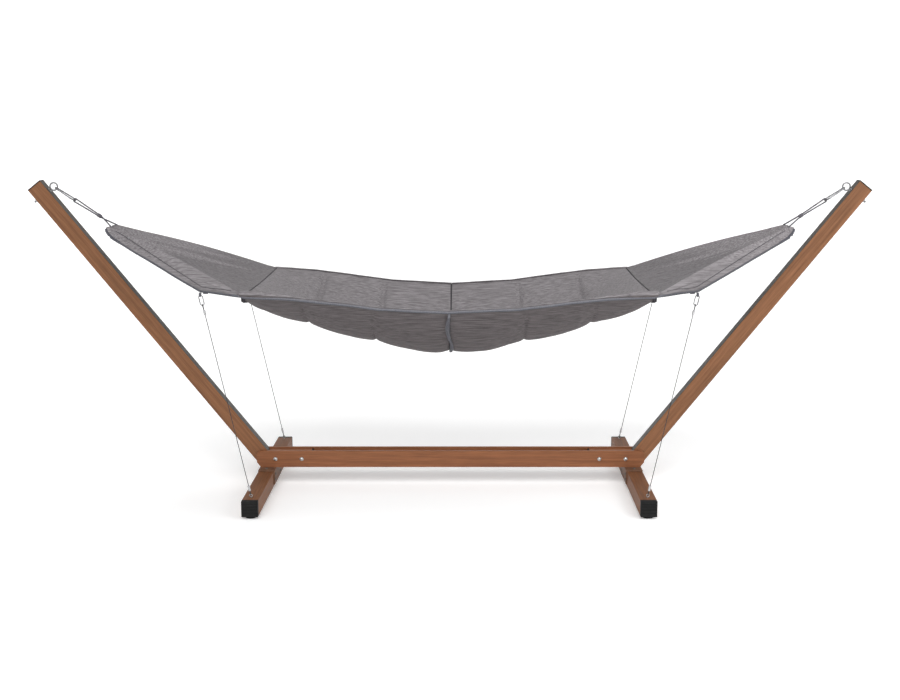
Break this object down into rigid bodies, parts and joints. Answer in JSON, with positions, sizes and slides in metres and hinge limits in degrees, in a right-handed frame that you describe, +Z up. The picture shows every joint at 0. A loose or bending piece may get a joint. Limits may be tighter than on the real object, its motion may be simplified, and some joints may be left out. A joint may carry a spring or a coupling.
{
  "type": "hammock on stand",
  "caption": "Quilted cloth hammock slung between two sloping posts of a low beam stand, steadied by wire stays.",
  "frame": {"origin": "centre of the stand's footprint on the floor", "axes": "+X along the beam from post to post, +Y from front to back, +Z up"},
  "size_m": [3.7254, 1.1, 1.3872],
  "materials": {
    "wood_effect": "wood-effect coating on metal tube and plate",
    "black_plastic": "fine grained moulding",
    "rubber": "matte",
    "steel": "stainless, satin",
    "dark_steel": "blackened",
    "bracket_paint": "brown powder coat",
    "cloth": "heather grey woven cloth over wadding",
    "binding": "grey-blue bias tape",
    "rope": "braided cord",
    "wire": "stranded wire",
    "ferrule": "pressed, bright"
  },
  "bodies": {
    "stand": {"base_bracket_left": "bracket_paint", "base_bracket_right": "bracket_paint", "beam_board_back": "wood_effect", "beam_board_front": "wood_effect", "beam_bolts": "steel", "bracket_bolts": "dark_steel", "eye_bolt_left": "steel", "eye_bolt_right": "steel", "eye_nuts": "steel", "foot_cap_back_left": "black_plastic", "foot_cap_back_right": "black_plastic", "foot_cap_front_left": "black_plastic", "foot_cap_front_right": "black_plastic", "foot_eye_screws": "steel", "foot_left": "wood_effect", "foot_right": "wood_effect", "glides_left": "rubber", "glides_right": "rubber", "post_cap_left": "black_plastic", "post_cap_right": "black_plastic", "post_left": "wood_effect", "post_right": "wood_effect", "stub_left": "wood_effect", "stub_plug_left": "black_plastic", "stub_plug_right": "black_plastic", "stub_right": "wood_effect"},
    "hammock": {"corner_loops": "binding", "edge_tape_back": "binding", "edge_tape_front": "binding", "pad_left": "cloth", "pad_right": "cloth", "sail_left": "cloth", "sail_right": "cloth", "seam_ends": "binding", "seam_middle": "binding", "tip_bands": "binding"},
    "suspension_left": {"carabiner_left": "steel", "rope_left": "rope", "whipping_left": "rope"},
    "carabiner_gate_left": {"carabiner_gate_left": "steel"},
    "stay_front_left": {"stay_cable_front_left": "wire", "stay_ferrules_front_left": "ferrule", "snap_hook_front_left": "steel"},
    "snap_gate_front_left": {"snap_gate_front_left": "steel"},
    "stay_back_left": {"stay_cable_back_left": "wire", "stay_ferrules_back_left": "ferrule", "snap_hook_back_left": "steel"},
    "snap_gate_back_left": {"snap_gate_back_left": "steel"},
    "suspension_right": {"carabiner_right": "steel", "rope_right": "rope", "whipping_right": "rope"},
    "carabiner_gate_right": {"carabiner_gate_right": "steel"},
    "stay_front_right": {"stay_cable_front_right": "wire", "stay_ferrules_front_right": "ferrule", "snap_hook_front_right": "steel"},
    "snap_gate_front_right": {"snap_gate_front_right": "steel"},
    "stay_back_right": {"stay_cable_back_right": "wire", "stay_ferrules_back_right": "ferrule", "snap_hook_back_right": "steel"},
    "snap_gate_back_right": {"snap_gate_back_right": "steel"}
  },
  "joints": [
    {"name": "hammock_sway", "type": "slide", "parent": "stand", "child": "hammock", "axis": [0, 1, 0], "range_m": [-0.03, 0.03], "stiffness_N_per_m": 150},
    {"name": "suspension_left_swing", "type": "hinge", "parent": "stand", "child": "suspension_left", "pos_m": [-1.75482, 0, 1.35879], "axis": [-0.5499, 0, -0.8352], "range_deg": [-5.8, 5.8]},
    {"name": "carabiner_gate_left_open", "type": "hinge", "parent": "suspension_left", "child": "carabiner_gate_left", "pos_m": [-1.7306, -0.01299, 1.34284], "axis": [0.5499, 0, 0.8352], "range_deg": [0, 25], "stiffness_Nm_per_rad": 0.05, "springref_deg": -17.19},
    {"name": "stay_front_left_swing", "type": "hinge", "parent": "stand", "child": "stay_front_left", "pos_m": [-0.837, -0.502, 0.09], "axis": [-1, 0, 0], "range_deg": [-2.1, 2.1]},
    {"name": "snap_gate_front_left_open", "type": "hinge", "parent": "stay_front_left", "child": "snap_gate_front_left", "pos_m": [-1.006, -0.502, 0.9149], "axis": [0, -1, 0], "range_deg": [0, 25], "stiffness_Nm_per_rad": 0.01, "springref_deg": -17.19},
    {"name": "stay_back_left_swing", "type": "hinge", "parent": "stand", "child": "stay_back_left", "pos_m": [-0.837, 0.502, 0.09], "axis": [-1, 0, 0], "range_deg": [-2.1, 2.1]},
    {"name": "snap_gate_back_left_open", "type": "hinge", "parent": "stay_back_left", "child": "snap_gate_back_left", "pos_m": [-1.006, 0.502, 0.9149], "axis": [0, -1, 0], "range_deg": [0, 25], "stiffness_Nm_per_rad": 0.01, "springref_deg": -17.19},
    {"name": "suspension_right_swing", "type": "hinge", "parent": "stand", "child": "suspension_right", "pos_m": [1.75482, 0, 1.35879], "axis": [0.5499, 0, -0.8352], "range_deg": [-5.8, 5.8]},
    {"name": "carabiner_gate_right_open", "type": "hinge", "parent": "suspension_right", "child": "carabiner_gate_right", "pos_m": [1.7306, 0.01299, 1.34284], "axis": [-0.5499, 0, 0.8352], "range_deg": [0, 25], "stiffness_Nm_per_rad": 0.05, "springref_deg": -17.19},
    {"name": "stay_front_right_swing", "type": "hinge", "parent": "stand", "child": "stay_front_right", "pos_m": [0.837, -0.502, 0.09], "axis": [-1, 0, 0], "range_deg": [-2.1, 2.1]},
    {"name": "snap_gate_front_right_open", "type": "hinge", "parent": "stay_front_right", "child": "snap_gate_front_right", "pos_m": [1.006, -0.502, 0.9149], "axis": [0, 1, 0], "range_deg": [0, 25], "stiffness_Nm_per_rad": 0.01, "springref_deg": -17.19},
    {"name": "stay_back_right_swing", "type": "hinge", "parent": "stand", "child": "stay_back_right", "pos_m": [0.837, 0.502, 0.09], "axis": [-1, 0, 0], "range_deg": [-2.1, 2.1]},
    {"name": "snap_gate_back_right_open", "type": "hinge", "parent": "stay_back_right", "child": "snap_gate_back_right", "pos_m": [1.006, 0.502, 0.9149], "axis": [0, 1, 0], "range_deg": [0, 25], "stiffness_Nm_per_rad": 0.01, "springref_deg": -17.19}
  ],
  "couplings": [
    {"joint": "suspension_left_swing", "follows": "hammock_sway", "rad_per_m": 3.3167},
    {"joint": "stay_front_left_swing", "follows": "hammock_sway", "rad_per_m": 1.1737},
    {"joint": "stay_back_left_swing", "follows": "hammock_sway", "rad_per_m": 1.1737},
    {"joint": "suspension_right_swing", "follows": "hammock_sway", "rad_per_m": 3.3167},
    {"joint": "stay_front_right_swing", "follows": "hammock_sway", "rad_per_m": 1.1737},
    {"joint": "stay_back_right_swing", "follows": "hammock_sway", "rad_per_m": 1.1737}
  ]
}
